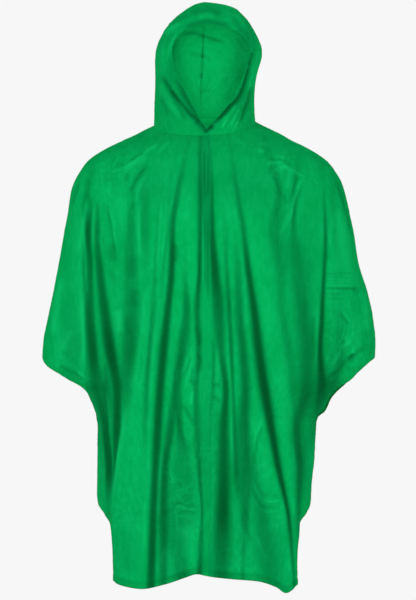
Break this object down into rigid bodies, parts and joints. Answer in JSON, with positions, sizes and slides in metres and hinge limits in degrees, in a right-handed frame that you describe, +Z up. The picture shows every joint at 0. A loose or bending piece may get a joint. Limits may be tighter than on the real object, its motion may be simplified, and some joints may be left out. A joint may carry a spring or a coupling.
{
  "type": "rain poncho",
  "caption": "Hooded rain poncho of thin soft film, hanging as when worn, with wide short sleeves, a lapped front closed by a band, and open sides under the sleeves.",
  "frame": {"origin": "middle of the neck seam, where the shoulders of the wearer hold the poncho up", "axes": "+Z up, +X to the wearer's left, the front faces -Y"},
  "size_m": [0.6989, 0.2971, 1.2204],
  "materials": {
    "film": "satin"
  },
  "bodies": {
    "root": {"back_panel": "film", "front_right_panel": "film", "front_left_panel": "film", "front_band": "film", "hood_right": "film", "hood_left": "film", "hood_face_hem": "film"}
  },
  "joints": []
}
